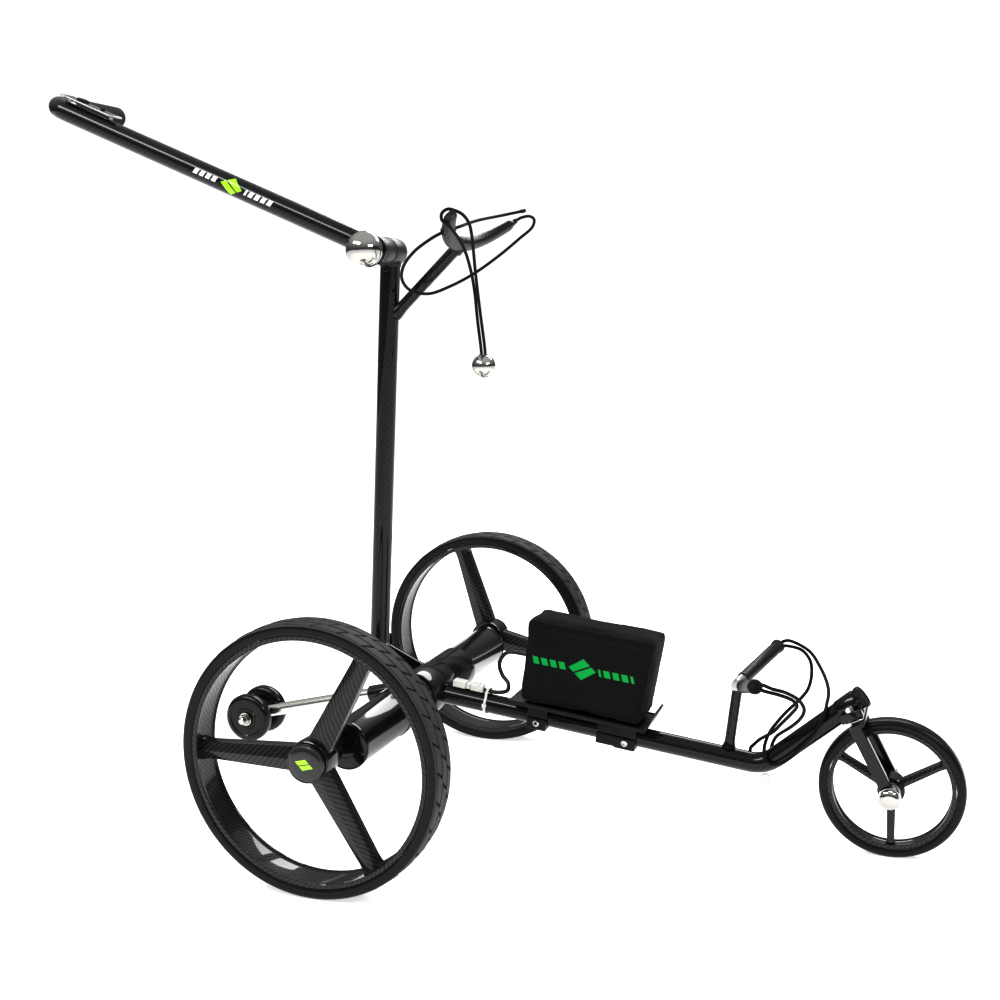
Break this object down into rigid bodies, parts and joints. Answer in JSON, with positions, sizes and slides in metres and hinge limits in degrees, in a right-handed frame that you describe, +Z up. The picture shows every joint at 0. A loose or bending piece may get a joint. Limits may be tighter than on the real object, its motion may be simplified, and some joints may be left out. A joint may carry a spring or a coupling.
{
  "type": "golf push trolley",
  "caption": "Folding three-wheel motor golf trolley with a tubular axle, battery bag on a low tube, bag cradles on a mast, and a hinged handle.",
  "frame": {"origin": "middle of the footprint's box, on the floor", "axes": "+X towards the front wheel, +Y to the trolley's left, +Z up"},
  "size_m": [1.1454, 0.596, 0.9148],
  "materials": {
    "carbon": "glossy woven carbon fibre",
    "gloss": "polished black",
    "plastic": "moulded black",
    "rubber": "matte dark rubber",
    "tyre": "dark tread with a smooth side band",
    "steel": "polished",
    "satin": "satin",
    "fabric": "black woven nylon",
    "cord": "braided black elastic",
    "cable": "black insulated cable",
    "white": "white moulding",
    "motor": "machined"
  },
  "bodies": {
    "frame": {"axle_housing": "gloss", "right_axle_cap": "gloss", "left_axle_cap": "gloss", "right_gear_motor": "motor", "left_gear_motor": "motor", "axle_bracket": "carbon", "main_tube": "carbon", "main_tube_plug": "plastic", "battery_tray": "plastic", "rear_tray_clamp": "plastic", "front_tray_clamp": "plastic", "battery_bag": "fabric", "battery_pack": "plastic", "battery_lead": "cable", "lead_connector": "white", "cable_tie": "white", "lower_post": "carbon", "lower_cradle_rod": "satin", "lower_right_sleeve": "rubber", "lower_left_sleeve": "rubber", "right_elastic_loop": "cord", "left_elastic_loop": "cord", "cord_hook": "white", "fork_head_block": "plastic", "trim_plate": "steel", "mast_pivot_pin": "steel"},
    "fork": {"front_fork": "carbon", "front_axle_bolt": "steel"},
    "front_wheel": {"front_tyre": "tyre", "front_rim": "carbon", "front_hub": "satin"},
    "right_wheel": {"right_tyre": "tyre", "right_rim": "carbon", "right_drive_hub": "satin", "right_hub_cap": "gloss"},
    "left_wheel": {"left_tyre": "tyre", "left_rim": "carbon", "left_drive_hub": "satin", "left_hub_cap": "gloss"},
    "anti_tip": {"anti_tip_arm": "steel", "anti_tip_bolt": "steel"},
    "anti_tip_right_roller": {"anti_tip_right_wheel": "plastic"},
    "anti_tip_left_roller": {"anti_tip_left_wheel": "plastic"},
    "mast_clamp": {"mast_clamp_lever": "plastic"},
    "mast": {"mast_foot": "satin", "mast_tube": "carbon", "mast_knuckle": "plastic", "upper_post": "carbon", "upper_cradle": "rubber", "upper_cord": "cord", "ball_cord": "cord", "cord_ball": "steel"},
    "handle": {"handle_tube": "carbon", "handle_knuckle": "plastic", "hinge_washer": "gloss", "hand_grip": "rubber", "control_plate": "satin"},
    "hinge_knob": {"ball_knob": "steel"},
    "speed_dial": {"speed_dial": "plastic"},
    "power_button": {"power_button": "white"}
  },
  "joints": [
    {"name": "mast_fold", "type": "hinge", "parent": "frame", "child": "mast", "pos_m": [-0.13748, 0, 0.19192], "axis": [0, 1, 0], "range_deg": [0, 55]},
    {"name": "mast_clamp_turn", "type": "hinge", "parent": "frame", "child": "mast_clamp", "pos_m": [-0.13748, 0, 0.19192], "axis": [0, 1, 0], "range_deg": [0, 90]},
    {"name": "handle_fold", "type": "hinge", "parent": "mast", "child": "handle", "pos_m": [-0.10101, 0, 0.697], "axis": [0, 1, 0], "range_deg": [-100, 30]},
    {"name": "hinge_knob_turn", "type": "hinge", "parent": "handle", "child": "hinge_knob", "pos_m": [-0.10101, 0, 0.697], "axis": [0, 1, 0], "range_deg": [0, 270]},
    {"name": "right_wheel_spin", "type": "hinge", "parent": "frame", "child": "right_wheel", "pos_m": [-0.08861, -0.275, 0.1525], "axis": [0, 1, 0], "continuous": true},
    {"name": "left_wheel_spin", "type": "hinge", "parent": "frame", "child": "left_wheel", "pos_m": [-0.08861, 0.275, 0.1525], "axis": [0, 1, 0], "continuous": true},
    {"name": "fork_trim", "type": "hinge", "parent": "frame", "child": "fork", "pos_m": [0.49239, 0, 0.0803], "axis": [-0.4462, 0, 0.8949], "range_deg": [-4, 4]},
    {"name": "front_wheel_spin", "type": "hinge", "parent": "fork", "child": "front_wheel", "pos_m": [0.49239, 0, 0.0803], "axis": [0, 1, 0], "continuous": true},
    {"name": "anti_tip_slide", "type": "slide", "parent": "frame", "child": "anti_tip", "axis": [-0.9751, 0, -0.2217], "range_m": [0, 0.03]},
    {"name": "anti_tip_right_spin", "type": "hinge", "parent": "anti_tip", "child": "anti_tip_right_roller", "pos_m": [-0.32111, -0.0205, 0.1004], "axis": [0, 1, 0], "continuous": true},
    {"name": "anti_tip_left_spin", "type": "hinge", "parent": "anti_tip", "child": "anti_tip_left_roller", "pos_m": [-0.32111, 0.0205, 0.1004], "axis": [0, 1, 0], "continuous": true},
    {"name": "speed_dial_turn", "type": "hinge", "parent": "handle", "child": "speed_dial", "pos_m": [-0.50813, -0.0297, 0.90125], "axis": [0.4067, 0, 0.9135], "range_deg": [0, 270]},
    {"name": "power_button_press", "type": "slide", "parent": "handle", "child": "power_button", "axis": [-0.4067, 0, -0.9135], "range_m": [0, 0.0012], "stiffness_N_per_m": 300}
  ]
}
